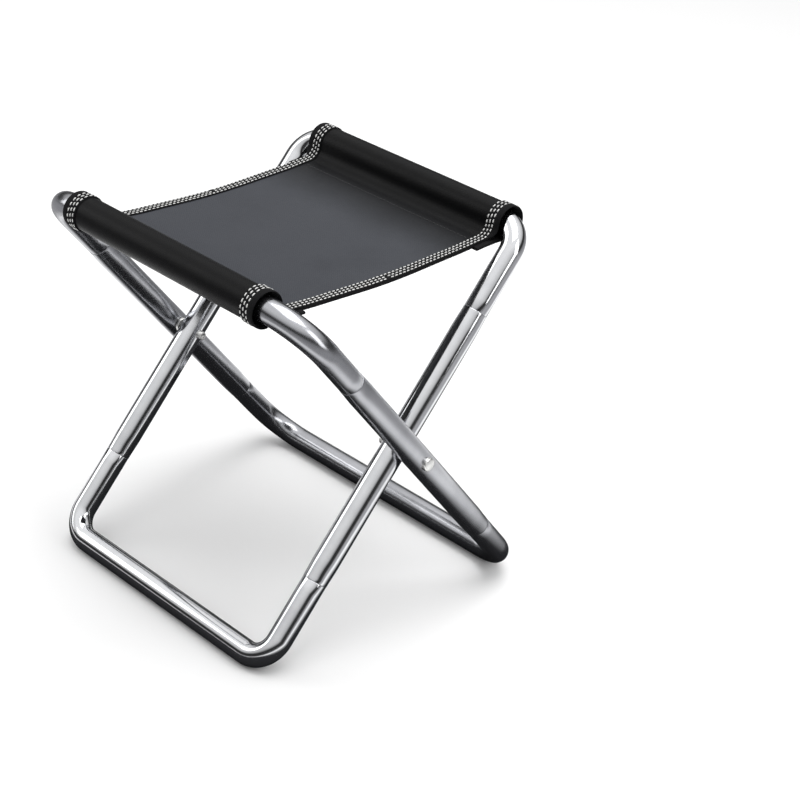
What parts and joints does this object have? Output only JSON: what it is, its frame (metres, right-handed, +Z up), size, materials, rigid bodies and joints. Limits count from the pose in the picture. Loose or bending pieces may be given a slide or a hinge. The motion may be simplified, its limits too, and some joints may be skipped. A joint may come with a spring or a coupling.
{
  "type": "folding camp stool",
  "caption": "Folding camp stool: two nested steel tube frames riveted at mid height, with a black fabric sling seat.",
  "frame": {"origin": "centre of the bounding box at floor level, half way between the two foot rails", "axes": "+X along the rails and the rivet axis, +Y from the front rail to the back rail, +Z up from the floor"},
  "size_m": [0.274, 0.2422, 0.276],
  "materials": {
    "satin_steel": "satin-polished stainless steel tube",
    "bright_steel": "bright chrome-plated steel tube",
    "rivet_steel": "bright plated steel rivet",
    "sleeve_fabric": "coated black oxford cloth",
    "seat_fabric": "coated charcoal oxford cloth",
    "binding_tape": "black woven binding tape with rows of white stitches"
  },
  "bodies": {
    "frame_outer": {"outer_upper_bend": "satin_steel", "outer_lower_bend": "satin_steel", "outer_side_tube_right": "satin_steel", "outer_side_tube_left": "satin_steel", "pivot_rivet_right": "rivet_steel", "pivot_rivet_left": "rivet_steel", "spacer_washer_right": "rivet_steel", "spacer_washer_left": "rivet_steel"},
    "frame_inner": {"inner_upper_bend": "bright_steel", "inner_lower_bend": "bright_steel", "inner_side_tube_right": "bright_steel", "inner_side_tube_left": "bright_steel"},
    "seat_front": {"seat_front_sleeve": "sleeve_fabric", "seat_front_panel": "seat_fabric", "seat_front_underlap": "sleeve_fabric", "seat_front_hem_right": "binding_tape", "seat_front_hem_left": "binding_tape", "seat_front_binding_right": "binding_tape", "seat_front_binding_left": "binding_tape"},
    "seat_back": {"seat_back_sleeve": "sleeve_fabric", "seat_back_panel": "seat_fabric", "seat_back_underlap": "sleeve_fabric", "seat_back_hem_left": "binding_tape", "seat_back_hem_right": "binding_tape", "seat_back_binding_left": "binding_tape", "seat_back_binding_right": "binding_tape"}
  },
  "joints": [
    {"name": "fold", "type": "hinge", "parent": "frame_outer", "child": "frame_inner", "pos_m": [0, 0, 0.13596], "axis": [1, 0, 0], "range_deg": [0, 71.5], "deforming": ["seat_front_panel", "seat_front_underlap", "seat_front_binding_right", "seat_front_binding_left", "seat_back_panel", "seat_back_underlap", "seat_back_binding_left", "seat_back_binding_right"]},
    {"name": "seat_front_turn", "type": "hinge", "parent": "frame_outer", "child": "seat_front", "pos_m": [0, -0.10857, 0.2635], "axis": [-1, 0, 0], "range_deg": [0, 48.1]},
    {"name": "seat_back_turn", "type": "hinge", "parent": "frame_inner", "child": "seat_back", "pos_m": [0, 0.10857, 0.2635], "axis": [1, 0, 0], "range_deg": [0, 48.1]}
  ],
  "couplings": [
    {"joint": "seat_front_turn", "follows": "fold", "ratio": 0.672},
    {"joint": "seat_back_turn", "follows": "fold", "ratio": 0.672}
  ]
}
